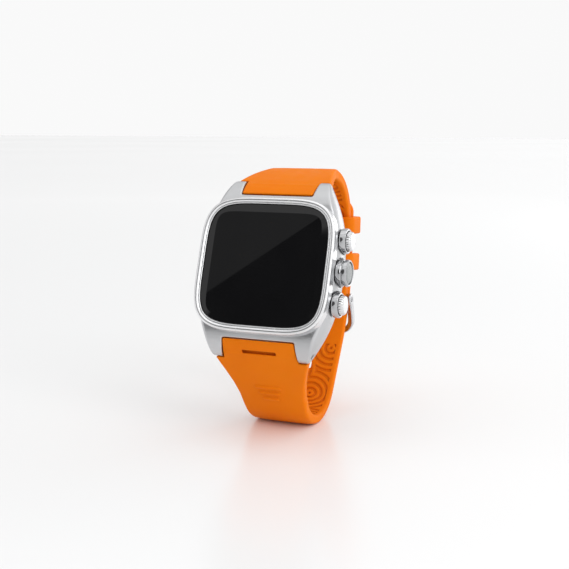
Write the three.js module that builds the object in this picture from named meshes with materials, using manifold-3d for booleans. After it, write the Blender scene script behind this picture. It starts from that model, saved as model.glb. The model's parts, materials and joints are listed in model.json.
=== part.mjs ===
// Wrist computer with a touch display, two side push buttons, a fixed side camera and a rubber
// pin-buckle strap that is closed into a loop.  Millimetres.
//
// The watch is modelled in its own axes: x across the display towards 3 o'clock, y towards 12 o'clock,
// z out of the display.  One group then leans it back so that it stands on the lower bend of its strap,
// with +Z up, the display facing -Y and the origin on the floor in the middle of the strap's foot.
import * as THREE from 'three';
import { mergeVertices } from 'three/addons/utils/BufferGeometryUtils.js';
import Module from 'manifold-3d';

const wasm = await Module();
wasm.setup();

// ---- driving dimensions -------------------------------------------------------------------------
const LEAN = THREE.MathUtils.degToRad(20);
const GAP = 0.35;                 // clearance between pieces that lie against each other

const CASE_HALF_WIDTH = 21.6;
const CASE_FRONT = -2.6;          // seat of the bezel
const CASE_BACK = -11;
const CAVITY_HALF = [17, 15.8];
const NOTCH_HALF_WIDTH = 11;      // half the strap opening between two lugs
const NOTCH_FLOOR = 21.1;
const NOTCH_FLARE = 0.8;          // extra half width at the lug tips
const LUG_TIP_RADIUS = 2.2;
const LUG_OUTER_X = 14.7;
const BAR_Y = 23.9;               // spring bar of the strap
const BAR_Z = -7.5;
const BAR_RADIUS = 0.75;
const BAR_HOLE_RADIUS = 0.95;

const GLASS_HALF = [18.4, 17.5];
const GLASS_TOP = -0.2;
const GLASS_THICKNESS = 1.2;
const CORNER_POWER = 4.7;         // squareness of the barrel outlines
const BEZEL_HALF = [20.3, 19.4];

const CONTROL_Y = 9.1;            // buttons sit at +/- this, the camera at 0
const CONTROL_Z = -6.2;
const BUTTON_RADIUS = 2.8;
const COLLAR_RADIUS = 3.6;
const STEM_RADIUS = 1.2;
const CAMERA_RADIUS = 3.85;

const STRAP_THICKNESS = 3.2;
const TAIL_THICKNESS = 2.6;
const STRAP_HALF_WIDTH = 10;      // round the bends and along the back
const SHOULDER_HALF_WIDTH = 15;   // where the strap meets the lug tips
const NOTCH_STRAP_HALF = 10.6;
const SHOULDER_CLEAR_RADIUS = LUG_TIP_RADIUS + 0.45;
const STRAP_BOSS_RADIUS = 1.9;
const START_Y = NOTCH_FLOOR + 0.5; // the strap's end face in the notch
const START_Z = -3.3;
const FOOT_DEPTH = 0.42;          // how much the bottom bend is flattened where it stands
const HOLE_PITCH = 6.5;

const BUCKLE_INNER_HALF = STRAP_HALF_WIDTH + GAP;
const BUCKLE_OUTER_HALF = BUCKLE_INNER_HALF + 1.35;
const BUCKLE_BAR_RADIUS = 1.2;
const TONGUE_HALF_WIDTH = 1.1;
const KEEPER_LENGTH = 5.4;
const KEEPER_WALL = 1.7;

// ---- finishes -----------------------------------------------------------------------------------
function finish(color, roughness, metalness) {
  return () => new THREE.MeshStandardMaterial({ color, roughness, metalness });
}
const steel = finish(0xc9cacc, 0.3, 1);
const darkSteel = finish(0x8d8f92, 0.4, 1);
const orangeRubber = finish(0xf0780f, 0.6, 0);
const blackGlass = finish(0x0b0c0d, 0.06, 0);
const greyGlass = finish(0x8b8f8e, 0.1, 0);
const greenBoard = finish(0x1c5a34, 0.6, 0);
const blackPlastic = finish(0x1a1a1b, 0.5, 0);
const blackRubber = finish(0x202020, 0.8, 0);
const ceramic = finish(0xd8c9a8, 0.5, 0);
const batteryFoil = finish(0xb9bcc0, 0.35, 0.6);
const goldPlate = finish(0xd9a94a, 0.3, 1);

// ---- solids -------------------------------------------------------------------------------------
function solid(geometry) {
  const bare = new THREE.BufferGeometry();
  bare.setAttribute('position', geometry.attributes.position);
  bare.setIndex(geometry.index);
  const merged = mergeVertices(bare, 1e-4);
  return new wasm.Manifold(new wasm.Mesh({
    numProp: 3,
    vertProperties: Float32Array.from(merged.attributes.position.array),
    triVerts: Uint32Array.from(merged.index.array),
  }));
}

function geometryOf(body) {
  const mesh = body.getMesh();
  const geometry = new THREE.BufferGeometry();
  geometry.setAttribute('position', new THREE.BufferAttribute(mesh.vertProperties, 3));
  geometry.setIndex(new THREE.BufferAttribute(mesh.triVerts, 1));
  return geometry;
}

// An outline in x and y, extruded from one height to another.
function plate(shape, bottom, top) {
  const geometry = new THREE.ExtrudeGeometry(shape, { depth: top - bottom, bevelEnabled: false });
  return solid(geometry.translate(0, 0, bottom));
}

// As plate, with the outline drawn in by `inset` at both faces over a height of `rise`.
function crownedPlate(shape, bottom, top, rise, inset, segments) {
  const geometry = new THREE.ExtrudeGeometry(shape, {
    depth: top - bottom - 2 * rise,
    bevelThickness: rise,
    bevelSize: inset,
    bevelOffset: -inset,
    bevelSegments: segments,
  });
  return solid(geometry.translate(0, 0, bottom + rise));
}

// An outline in y and z, extruded across the watch from one x to another.
const ACROSS = new THREE.Matrix4().makeBasis(
  new THREE.Vector3(0, 1, 0), new THREE.Vector3(0, 0, 1), new THREE.Vector3(1, 0, 0));

function sidePrism(shape, left, right) {
  const geometry = new THREE.ExtrudeGeometry(shape, { depth: right - left, bevelEnabled: false });
  return solid(geometry.applyMatrix4(ACROSS).translate(left, 0, 0));
}

function rodX(radius, left, right, y, z, sides = 20) {
  const geometry = new THREE.CylinderGeometry(radius, radius, right - left, sides);
  return solid(geometry.rotateZ(-Math.PI / 2).translate((left + right) / 2, y, z));
}

function rodZ(radius, bottom, top, x, y, sides = 16) {
  const geometry = new THREE.CylinderGeometry(radius, radius, top - bottom, sides);
  return solid(geometry.rotateX(Math.PI / 2).translate(x, y, (bottom + top) / 2));
}

function box(low, high) {
  const size = high.map((value, axis) => value - low[axis]);
  const geometry = new THREE.BoxGeometry(...size);
  return solid(geometry.translate(...low.map((value, axis) => value + size[axis] / 2)));
}

function polygon(points) {
  return new THREE.Shape(points.map(([across, up]) => new THREE.Vector2(across, up)));
}

// A rounded, slightly barrelled rectangle: a superellipse.
function barrelPoints([halfX, halfY], power = CORNER_POWER, count = 56) {
  const points = [];
  for (let i = 0; i < count; i += 1) {
    const angle = (i / count) * 2 * Math.PI;
    const cosine = Math.cos(angle);
    const sine = Math.sin(angle);
    const x = halfX * Math.sign(cosine) * Math.abs(cosine) ** (2 / power);
    const y = halfY * Math.sign(sine) * Math.abs(sine) ** (2 / power);
    points.push([x, y]);
  }
  return points;
}

function barrel(half, power, count) {
  return polygon(barrelPoints(half, power, count));
}

// ---- the watch as a scene graph -----------------------------------------------------------------
const watch = new THREE.Group();

function addPiece(name, body, material) {
  const mesh = new THREE.Mesh(geometryOf(body), material());
  mesh.name = name;
  watch.add(mesh);
}

// ---- case ---------------------------------------------------------------------------------------
// One quarter of the case outline from a lug tip to the widest point; the rest is mirrored.
const LUG_TIP_Y = BAR_Y + LUG_TIP_RADIUS;
const CASE_QUARTER = [
  [LUG_OUTER_X, LUG_TIP_Y], [16.5, 22.4], [18.8, 17.8], [20.4, 12], [21.3, 6], [CASE_HALF_WIDTH, 0],
];

function caseOutline() {
  const right = CASE_QUARTER.concat(CASE_QUARTER.slice(0, -1).reverse().map(([x, y]) => [x, -y]));
  const left = right.map(([x, y]) => [-x, y]).reverse();
  const curveOf = (points) => new THREE.SplineCurve(points.map(([x, y]) => new THREE.Vector2(x, y)));
  const smooth = (points) => curveOf(points).getPoints(24);
  return new THREE.Shape(smooth(right).concat(smooth(left)));
}

function caseSideOutline() {
  const half = [[0, CASE_FRONT], [19.7, CASE_FRONT], [21.3, -3.1], [22.9, -4.1]];
  for (let degrees = 60; degrees >= -80; degrees -= 20) {
    const angle = THREE.MathUtils.degToRad(degrees);
    half.push([BAR_Y + LUG_TIP_RADIUS * Math.cos(angle), BAR_Z + LUG_TIP_RADIUS * Math.sin(angle)]);
  }
  half.push([20.6, -11.4], [18.6, CASE_BACK]);
  return polygon(half.concat(half.slice(1).reverse().map(([y, z]) => [-y, z])));
}

function notch(side) {
  const tip = side * (LUG_TIP_Y + 1);
  const floor = side * NOTCH_FLOOR;
  const tipHalf = NOTCH_HALF_WIDTH + NOTCH_FLARE;
  const shape = polygon([[-NOTCH_HALF_WIDTH, floor], [NOTCH_HALF_WIDTH, floor],
    [tipHalf, tip], [-tipHalf, tip]]);
  return plate(shape, CASE_BACK - 3, 0);
}

// Screw posts stand in the four corners of the cavity, each joined to the wall by a web.
const CORNERS = [[1, 1], [-1, 1], [-1, -1], [1, -1]];
const SCREW_X = 14.1;
const SCREW_Y = 13;
const POST_TOP = -5.5;
const POST_RADIUS = 2.1;
const WEB_REACH = [3.2, 3];
const SCREW_HOLE_RADIUS = 0.85;
const SCREW_HOLE_TOP = -6.2;

function screwPost(signX, signY) {
  const [x, y] = [signX * SCREW_X, signY * SCREW_Y];
  const xs = [x, x + signX * WEB_REACH[0]].sort((a, b) => a - b);
  const ys = [y, y + signY * WEB_REACH[1]].sort((a, b) => a - b);
  const web = box([xs[0], ys[0], CASE_BACK], [xs[1], ys[1], POST_TOP]);
  return rodZ(POST_RADIUS, CASE_BACK, POST_TOP, x, y).add(web);
}

// Recesses in the right wall seat the collars and the camera flange; bores behind them take the sleeves.
const BUTTON_BORE_RADIUS = 2.7;
const CAMERA_BORE_RADIUS = 2.4;
const RECESS_CLEARANCE = 0.3;
const COLLAR_RECESS_X = 20.4;
const CAMERA_RECESS_X = 20.6;
const CROWN_RISE = 5.4;           // how far from each face the side wall starts to draw in
const CROWN_INSET = 1.3;

function midCase() {
  let body = crownedPlate(caseOutline(), CASE_BACK - 2, CASE_FRONT + 3, CROWN_RISE, CROWN_INSET, 4);
  body = body.intersect(sidePrism(caseSideOutline(), -30, 30));
  body = body.subtract(plate(barrel(CAVITY_HALF, 5), CASE_BACK - 3, 1));
  for (const [signX, signY] of CORNERS) {
    const hole = rodZ(SCREW_HOLE_RADIUS, CASE_BACK - 1, SCREW_HOLE_TOP, signX * SCREW_X, signY * SCREW_Y, 12);
    body = body.add(screwPost(signX, signY)).subtract(hole);
  }
  for (const side of [1, -1]) {
    const y = side * CONTROL_Y;
    body = body.subtract(notch(side));
    body = body.subtract(rodX(BAR_HOLE_RADIUS, -20, 20, side * BAR_Y, BAR_Z, 14));
    body = body.subtract(rodX(COLLAR_RADIUS + RECESS_CLEARANCE, COLLAR_RECESS_X, 26, y, CONTROL_Z, 24));
    body = body.subtract(rodX(BUTTON_BORE_RADIUS, 15, 24, y, CONTROL_Z));
  }
  body = body.subtract(rodX(CAMERA_RADIUS + RECESS_CLEARANCE, CAMERA_RECESS_X, 26, 0, CONTROL_Z, 24));
  return body.subtract(rodX(CAMERA_BORE_RADIUS, 15, 24, 0, CONTROL_Z));
}
addPiece('mid_case', midCase(), steel);

const BEZEL_TOP = 0.25;
const BEZEL_BOTTOM = CASE_FRONT + 0.3;
const BEZEL_ROUND = 1.1;          // height over which its outer edge rolls in
const BEZEL_ROLL = 0.75;
const GLASS_SEAT = 0.3;           // glue gap round and under the glass
const GLASS_LEDGE = 1;            // width of the step that carries the glass

function grown([halfX, halfY], by) {
  return [halfX + by, halfY + by];
}

function bezelRing() {
  const bottom = BEZEL_BOTTOM - BEZEL_ROUND;
  const rim = crownedPlate(barrel(BEZEL_HALF), bottom, BEZEL_TOP, BEZEL_ROUND, BEZEL_ROLL, 3);
  const trimmed = rim.intersect(plate(barrel([30, 30], 8, 24), BEZEL_BOTTOM, 2));
  const seat = plate(barrel(grown(GLASS_HALF, GLASS_SEAT)), GLASS_TOP - GLASS_THICKNESS - GLASS_SEAT, 2);
  const window = plate(barrel(grown(GLASS_HALF, -GLASS_LEDGE)), -6, 2);
  return trimmed.subtract(seat).subtract(window);
}
addPiece('bezel_ring', bezelRing(), steel);

addPiece('display_glass', plate(barrel(GLASS_HALF), GLASS_TOP - GLASS_THICKNESS, GLASS_TOP), blackGlass);

// ---- electronics --------------------------------------------------------------------------------
function boardOutline(halfX, halfY, corner) {
  return polygon([[halfX, corner - halfY], [halfX, halfY - corner], [halfX - corner, halfY],
    [corner - halfX, halfY], [-halfX, halfY - corner], [-halfX, corner - halfY],
    [corner - halfX, -halfY], [halfX - corner, -halfY]]);
}
const BOARD_HALF = [15.6, 14.6];
const BOARD_CORNER = 4.6;
const BOARD_TOP = -4.3;
const BOARD_BOTTOM = -5.1;
const PARTS_TOP = BOARD_BOTTOM - 0.3;    // parts hang under the board on their solder
addPiece('main_board', plate(boardOutline(...BOARD_HALF, BOARD_CORNER), BOARD_BOTTOM, BOARD_TOP), greenBoard);

// Name, low corner, high corner and finish of each boxed part.
const BOXED_PARTS = [
  ['touch_sensor', [-14.1, -13.8, -2.1], [14.1, 13.8, -1.7], blackGlass],
  ['lcd_module', [-14.1, -13.8, -3.9], [14.1, 13.8, -2.4], blackPlastic],
  ['processor_shield', [-11.5, -6, -6.5], [1.5, 7, PARTS_TOP], darkSteel],
  ['gps_antenna', [-5, 9, -8.6], [5, 14, PARTS_TOP], ceramic],
  ['battery', [-12, -9.5, -10.6], [11, 8, -6.8], batteryFoil],
  ['speaker', [-9, -14, -9.2], [2, -10, PARTS_TOP], blackPlastic],
  ['microphone', [6.6, 10, -6.6], [9.6, 12.2, PARTS_TOP], darkSteel],
  ['camera_module', [12.6, -3, -9.2], [16.6, 3, PARTS_TOP], blackPlastic],
];
for (const [name, low, high, material] of BOXED_PARTS) {
  addPiece(name, box(low, high), material);
}

const MOTOR_RADIUS = 2.7;
const MOTOR_PLACE = [6.2, -12.6];
addPiece('vibration_motor', rodZ(MOTOR_RADIUS, -8.4, PARTS_TOP - 0.1, ...MOTOR_PLACE, 20), darkSteel);

// ---- side camera --------------------------------------------------------------------------------
const FLANGE_INNER_X = 20.9;
const FLANGE_OUTER_X = 24;
const WINDOW_RADIUS = 2.95;
const WINDOW_SEAT_X = 23;
const LENS_RADIUS = 1.2;

function cameraHousing() {
  const flange = rodX(CAMERA_RADIUS, FLANGE_INNER_X, FLANGE_OUTER_X, 0, CONTROL_Z, 28);
  const sleeve = rodX(CAMERA_BORE_RADIUS - 0.3, 17.4, FLANGE_INNER_X + 0.3, 0, CONTROL_Z);
  const seat = rodX(WINDOW_RADIUS + 0.3, WINDOW_SEAT_X, 26, 0, CONTROL_Z, 24);
  return flange.add(sleeve).subtract(seat).subtract(rodX(LENS_RADIUS + 0.3, 15, 26, 0, CONTROL_Z, 16));
}
addPiece('camera_housing', cameraHousing(), steel);
const cameraWindow = rodX(WINDOW_RADIUS, WINDOW_SEAT_X + 0.3, FLANGE_OUTER_X - 0.1, 0, CONTROL_Z, 24);
addPiece('camera_glass', cameraWindow, greyGlass);
addPiece('camera_lens_barrel', rodX(LENS_RADIUS, 17.2, WINDOW_SEAT_X - 0.3, 0, CONTROL_Z, 14), blackPlastic);

// ---- push buttons -------------------------------------------------------------------------------
const COLLAR_INNER_X = 20.7;
const COLLAR_OUTER_X = 22.5;
const SLEEVE_BORE_RADIUS = 1.95;
const CAP_INNER_X = 22;
const CAP_EDGE_X = 23.4;
const CAP_CROWN = 0.5;
const SEAL_RADIUS = SLEEVE_BORE_RADIUS - 0.1;
const SEAL_X = [18.6, 19.4];

function buttonCollar(y) {
  const cup = rodX(COLLAR_RADIUS, COLLAR_INNER_X, COLLAR_OUTER_X, y, CONTROL_Z, 24);
  const bore = rodX(BUTTON_RADIUS + 0.25, COLLAR_INNER_X + 0.4, 24, y, CONTROL_Z, 24);
  const sleeve = rodX(BUTTON_BORE_RADIUS - 0.3, 17.2, COLLAR_INNER_X + 0.3, y, CONTROL_Z);
  return cup.subtract(bore).add(sleeve).subtract(rodX(SLEEVE_BORE_RADIUS, 15, 24, y, CONTROL_Z));
}

function buttonCap(y) {
  const cap = rodX(BUTTON_RADIUS, CAP_INNER_X, CAP_EDGE_X, y, CONTROL_Z, 24);
  const crown = solid(new THREE.CylinderGeometry(BUTTON_RADIUS - 0.4, BUTTON_RADIUS, CAP_CROWN, 24)
    .rotateZ(-Math.PI / 2).translate(CAP_EDGE_X + CAP_CROWN / 2, y, CONTROL_Z));
  return cap.add(crown).add(rodX(STEM_RADIUS, 16.9, CAP_INNER_X + 0.2, y, CONTROL_Z, 16));
}

function stemSeal(y) {
  const outer = rodX(SEAL_RADIUS, ...SEAL_X, y, CONTROL_Z, 20);
  return outer.subtract(rodX(STEM_RADIUS + 0.06, SEAL_X[0] - 1, SEAL_X[1] + 1, y, CONTROL_Z, 20));
}

for (const [name, side] of [['top', 1], ['bottom', -1]]) {
  const y = side * CONTROL_Y;
  addPiece(`button_collar_${name}`, buttonCollar(y), steel);
  addPiece(`button_${name}`, buttonCap(y), steel);
  addPiece(`button_seal_${name}`, stemSeal(y), blackRubber);
  addPiece(`side_switch_${name}`, box([13.6, y - 1.6, -7.6], [16.1, y + 1.6, -5.4]), blackPlastic);
}

// ---- back cover ---------------------------------------------------------------------------------
const COVER_HALF = [18.3, 17.2];
const COVER_TOP = CASE_BACK - 0.3;
const COVER_BOTTOM = -12.6;
const COVER_ROUND = 0.6;
const CONTACT_XS = [-4.5, -1.5, 1.5, 4.5];
const CONTACT_Y = 9;
const CONTACT_RADIUS = 0.7;
const THROUGH_HOLE_RADIUS = 0.95;
const SCREW_HEAD_RADIUS = 1.35;
const SCREW_HEAD_SEAT = -12;
const FLUSH = COVER_BOTTOM + 0.05;       // screw heads and contacts end just inside the back face

function backCover() {
  let body = crownedPlate(barrel(COVER_HALF), COVER_BOTTOM, COVER_TOP + COVER_ROUND, COVER_ROUND, 0.5, 2);
  body = body.intersect(box([-30, -30, -20], [30, 30, COVER_TOP]));
  for (const [signX, signY] of CORNERS) {
    const x = signX * SCREW_X;
    const y = signY * SCREW_Y;
    body = body.subtract(rodZ(THROUGH_HOLE_RADIUS, -14, -10, x, y, 12));
    body = body.subtract(rodZ(SCREW_HEAD_RADIUS + 0.25, -14, SCREW_HEAD_SEAT, x, y, 16));
  }
  for (const x of CONTACT_XS) {
    body = body.subtract(rodZ(THROUGH_HOLE_RADIUS, -14, -10, x, CONTACT_Y, 12));
  }
  return body;
}
addPiece('back_cover', backCover(), steel);

function backScrew(x, y) {
  const slot = box([x - 2, y - 0.2, -14], [x + 2, y + 0.2, FLUSH + 0.2]);
  const head = rodZ(SCREW_HEAD_RADIUS, FLUSH, SCREW_HEAD_SEAT - 0.2, x, y);
  return head.add(rodZ(0.6, SCREW_HEAD_SEAT - 0.3, SCREW_HOLE_TOP - 0.8, x, y, 12)).subtract(slot);
}
CORNERS.forEach(([signX, signY], index) => {
  addPiece(`back_screw_${index + 1}`, backScrew(signX * SCREW_X, signY * SCREW_Y), darkSteel);
});
CONTACT_XS.forEach((x, index) => {
  addPiece(`charge_contact_${index + 1}`, rodZ(CONTACT_RADIUS, FLUSH, -10.9, x, CONTACT_Y, 12), goldPlate);
});

// ---- strap --------------------------------------------------------------------------------------
// A strap half is a band.  Its outer face is walked along from the notch as a list of stations, each
// with its place, its outward direction and how far along the band it is.  The heading is measured
// from the display plane down towards the wrist; side is +1 for 12 o'clock and -1 for 6 o'clock.
function walk(side, startY, startZ, startHeading, stretches) {
  const stations = [];
  let y = startY;
  let z = startZ;
  let heading = THREE.MathUtils.degToRad(startHeading);
  let along = 0;
  const record = () => stations.push({
    y, z, along, outY: side * Math.sin(heading), outZ: Math.cos(heading),
  });
  record();
  for (const { length, turn, steps } of stretches) {
    const step = length / steps;
    const bend = THREE.MathUtils.degToRad(turn) / steps;
    for (let i = 0; i < steps; i += 1) {
      y += side * Math.cos(heading + bend / 2) * step;
      z -= Math.sin(heading + bend / 2) * step;
      heading += bend;
      along += step;
      record();
    }
  }
  return stations;
}

function inward(station, distance) {
  return [station.y - station.outY * distance, station.z - station.outZ * distance];
}

// Half the width of the band: full at the shoulders, then tapering to the strap width.
const TAPER = [[0, SHOULDER_HALF_WIDTH], [6, SHOULDER_HALF_WIDTH], [12, 12.7], [17, 11.3], [22, 10.4],
  [28, STRAP_HALF_WIDTH]];

function halfWidth(along) {
  const next = TAPER.findIndex(([distance]) => distance > along);
  if (next < 0) return STRAP_HALF_WIDTH;
  const [fromAlong, fromWidth] = TAPER[next - 1];
  const [toAlong, toWidth] = TAPER[next];
  return THREE.MathUtils.mapLinear(along, fromAlong, toAlong, fromWidth, toWidth);
}

function band(stations) {
  const outer = stations.map((station) => ({ point: inward(station, 0), width: halfWidth(station.along) }));
  const inner = stations.map((station) => ({
    point: inward(station, station.thickness), width: halfWidth(station.along),
  }));
  const rim = outer.concat(inner.reverse());
  const geometry = new THREE.ExtrudeGeometry(polygon(rim.map(({ point }) => point)),
    { depth: 1, bevelEnabled: false }).applyMatrix4(ACROSS);
  const position = geometry.attributes.position;
  for (let i = 0; i < position.count; i += 1) {
    const gapTo = ({ point }) => Math.hypot(point[0] - position.getY(i), point[1] - position.getZ(i));
    const nearest = rim.reduce((best, entry) => (gapTo(entry) < gapTo(best) ? entry : best));
    position.setX(i, (position.getX(i) > 0.5 ? 1 : -1) * nearest.width);
  }
  return solid(geometry);
}

// Cuts the shoulders clear of the two lug tips and adds the boss that turns on the spring bar.
function fitToLugs(body, side) {
  const y = side * BAR_Y;
  const [endLow, endHigh] = [side * 15, side * START_Y].sort((a, b) => a - b);
  let fitted = body.subtract(box([-20, endLow, -16], [20, endHigh, 1]));
  for (const [left, right] of [[-20, -NOTCH_STRAP_HALF], [NOTCH_STRAP_HALF, 20]]) {
    fitted = fitted.subtract(rodX(SHOULDER_CLEAR_RADIUS, left, right, y, BAR_Z, 28));
    const [low, high] = [side * 15, y].sort((a, b) => a - b);
    fitted = fitted.subtract(box([left, low, -16], [right, high, 1]));
  }
  fitted = fitted.add(rodX(STRAP_BOSS_RADIUS, -NOTCH_STRAP_HALF, NOTCH_STRAP_HALF, y, BAR_Z, 24));
  return fitted.subtract(rodX(BAR_HOLE_RADIUS, -16, 16, y, BAR_Z, 14));
}

const upperStations = walk(1, START_Y, START_Z, 34, [
  { length: 6, turn: 16, steps: 3 },
  { length: 15, turn: 14, steps: 3 },
  { length: 30, turn: 99, steps: 9 },
  { length: 24.5, turn: 8, steps: 3 },
]);
upperStations.forEach((station) => { station.thickness = STRAP_THICKNESS; });
const BACK_START = 15;                              // first station of the stretch along the back
const backStations = upperStations.slice(BACK_START);
const strapEnd = upperStations[upperStations.length - 1];
const [HINGE_Y, HINGE_Z] = inward(strapEnd, STRAP_THICKNESS / 2);

function upperStrap() {
  let body = fitToLugs(band(upperStations), 1);
  body = body.add(rodX(STRAP_THICKNESS / 2, -STRAP_HALF_WIDTH, STRAP_HALF_WIDTH, HINGE_Y, HINGE_Z, 20));
  body = body.subtract(rodX(BAR_HOLE_RADIUS, -16, 16, HINGE_Y, HINGE_Z, 14));
  return body.subtract(box([-1.6, HINGE_Y - 3, HINGE_Z - 3], [1.6, HINGE_Y + 2.4, HINGE_Z + 3]));
}
addPiece('upper_strap', upperStrap(), orangeRubber);

const lowerStations = walk(-1, -START_Y, START_Z, 34, [
  { length: 6, turn: 16, steps: 3 },
  { length: 20, turn: 1.5, steps: 2 },
  { length: 30.1, turn: 115, steps: 12 },
  { length: 19, turn: 0, steps: 2 },
]);
lowerStations.forEach((station) => {
  const along = station.along;
  station.thickness = along > 56 ? TAIL_THICKNESS : THREE.MathUtils.mapLinear(
    Math.max(along, 30), 30, 56.1, STRAP_THICKNESS, TAIL_THICKNESS);
});

// The tail lies on the outside of the upper strap and runs on straight past the upper keeper.
const TAIL_LIFT = TAIL_THICKNESS + GAP;
const TAIL_OVERHANG = 7.6;
const lowerLength = lowerStations[lowerStations.length - 1].along;
const tailStations = backStations.toReversed().map((station, index) => ({
  ...station,
  y: station.y + station.outY * TAIL_LIFT,
  z: station.z + station.outZ * TAIL_LIFT,
  along: lowerLength + 10 + index,
  thickness: TAIL_THICKNESS,
}));
const tailTop = tailStations[tailStations.length - 1];
tailStations.push({
  ...tailTop,
  y: tailTop.y + tailTop.outZ * -TAIL_OVERHANG,
  z: tailTop.z + tailTop.outY * TAIL_OVERHANG,
  along: tailTop.along + TAIL_OVERHANG,
});

// The bend is flattened where it is lowest, so that the leaned watch stands on a level face.
const UP = new THREE.Vector3(0, Math.cos(LEAN), Math.sin(LEAN));
const heightOf = (station) => station.y * UP.y + station.z * UP.z;
const lowest = lowerStations.reduce((best, station) => (heightOf(station) < heightOf(best) ? station : best));
const foot = new THREE.Vector3(0, lowest.y, lowest.z).addScaledVector(UP, FOOT_DEPTH);

const TONGUE_HOLE_Y = HINGE_Y - 3;
const TONGUE_HOLE_HALF = 3.7;
const HOLE_COUNT = 8;
const BUCKLED_HOLE = 3;                  // the one that the tongue passes through
const FIRST_HOLE_Y = TONGUE_HOLE_Y - BUCKLED_HOLE * HOLE_PITCH;
const HOLE_HALF = [1.35, 1.7];
const SLIT = [10.4, 1.1, 1.2];

function lowerStrap() {
  let body = fitToLugs(band(lowerStations.concat(tailStations)), -1);
  const under = new THREE.BoxGeometry(60, 60, 60)
    .translate(0, -30, 0).rotateX(LEAN).translate(0, foot.y, foot.z);
  body = body.subtract(solid(under));
  for (let i = 0; i < HOLE_COUNT; i += 1) {
    const y = FIRST_HOLE_Y + i * HOLE_PITCH;
    const half = i === BUCKLED_HOLE ? TONGUE_HOLE_HALF : HOLE_HALF[1];
    body = body.subtract(box([-HOLE_HALF[0], y - half, -62], [HOLE_HALF[0], y + half, -36]));
  }
  const slit = new THREE.BoxGeometry(...SLIT).rotateX(THREE.MathUtils.degToRad(45));
  return body.subtract(solid(slit.translate(0, -24.4, -5.4)));
}
addPiece('lower_strap', lowerStrap(), orangeRubber);

for (const [name, side] of [['top', 1], ['bottom', -1]]) {
  addPiece(`spring_bar_${name}`, rodX(BAR_RADIUS, -14, 14, side * BAR_Y, BAR_Z, 14), darkSteel);
}

// ---- buckle -------------------------------------------------------------------------------------
const FRAME_REACH = [9.1, 5.4];          // how far the outer bar lies down the strap and out from it
const OUTER_BAR_Y = HINGE_Y - FRAME_REACH[0];
const OUTER_BAR_Z = HINGE_Z - FRAME_REACH[1];

// A straight link between two points in the y-z plane with round ends.
function link(fromY, fromZ, toY, toZ, fromRadius, toRadius) {
  const angle = Math.atan2(toZ - fromZ, toY - fromY);
  const points = [];
  for (let i = 0; i <= 8; i += 1) {
    const turn = angle + Math.PI / 2 + (i / 8) * Math.PI;
    points.push([fromY + fromRadius * Math.cos(turn), fromZ + fromRadius * Math.sin(turn)]);
  }
  for (let i = 0; i <= 8; i += 1) {
    const turn = angle - Math.PI / 2 + (i / 8) * Math.PI;
    points.push([toY + toRadius * Math.cos(turn), toZ + toRadius * Math.sin(turn)]);
  }
  return polygon(points);
}

function buckleFrame() {
  let body = rodX(BUCKLE_BAR_RADIUS, -BUCKLE_OUTER_HALF, BUCKLE_OUTER_HALF, OUTER_BAR_Y, OUTER_BAR_Z, 20);
  const arm = link(HINGE_Y, HINGE_Z, OUTER_BAR_Y, OUTER_BAR_Z, 1.6, BUCKLE_BAR_RADIUS + 0.1);
  body = body.add(sidePrism(arm, BUCKLE_INNER_HALF, BUCKLE_OUTER_HALF));
  body = body.add(sidePrism(arm, -BUCKLE_OUTER_HALF, -BUCKLE_INNER_HALF));
  return body.subtract(rodX(BAR_HOLE_RADIUS, -16, 16, HINGE_Y, HINGE_Z, 14));
}
addPiece('buckle_frame', buckleFrame(), steel);
addPiece('buckle_bar', rodX(BAR_RADIUS - 0.1, -11.6, 11.6, HINGE_Y, HINGE_Z, 14), darkSteel);

const TONGUE_EYE_RADIUS = 1.4;
const TONGUE_RADIUS = 0.65;

function buckleTongue() {
  const reach = Math.hypot(OUTER_BAR_Y - HINGE_Y, OUTER_BAR_Z - HINGE_Z);
  const frameY = (OUTER_BAR_Y - HINGE_Y) / reach;
  const frameZ = (OUTER_BAR_Z - HINGE_Z) / reach;
  const lift = BUCKLE_BAR_RADIUS + 0.3 + TONGUE_RADIUS;
  const restY = OUTER_BAR_Y - frameZ * lift;
  const restZ = OUTER_BAR_Z + frameY * lift;
  const tipY = restY + frameY * 1.9;
  const tipZ = restZ + frameZ * 1.9;
  const across = [-TONGUE_HALF_WIDTH, TONGUE_HALF_WIDTH];
  const arm = sidePrism(link(HINGE_Y, HINGE_Z, restY, restZ, TONGUE_EYE_RADIUS, TONGUE_RADIUS), ...across);
  const tip = sidePrism(link(restY, restZ, tipY, tipZ, TONGUE_RADIUS, TONGUE_RADIUS - 0.15), ...across);
  return arm.add(tip).subtract(rodX(BAR_HOLE_RADIUS, -3, 3, HINGE_Y, HINGE_Z, 14));
}
addPiece('buckle_tongue', buckleTongue(), steel);

// ---- keepers ------------------------------------------------------------------------------------
// A keeper is a rectangular loop round both layers, square to the strap where it sits.
function keeper(station) {
  const direction = Math.atan2(-station.outY, -station.outZ);
  const innerHalf = STRAP_HALF_WIDTH + GAP;
  const skinSide = -STRAP_THICKNESS - 0.75;
  const outSide = TAIL_LIFT + GAP;
  const outer = box([-innerHalf - KEEPER_WALL, -KEEPER_LENGTH / 2, skinSide - KEEPER_WALL * 0.8],
    [innerHalf + KEEPER_WALL, KEEPER_LENGTH / 2, outSide + KEEPER_WALL]);
  const hollow = box([-innerHalf, -KEEPER_LENGTH, skinSide], [innerHalf, KEEPER_LENGTH, outSide]);
  const geometry = geometryOf(outer.subtract(hollow));
  geometry.applyMatrix4(new THREE.Matrix4().makeRotationX(Math.PI - direction));
  return solid(geometry.translate(0, station.y, station.z));
}

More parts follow.
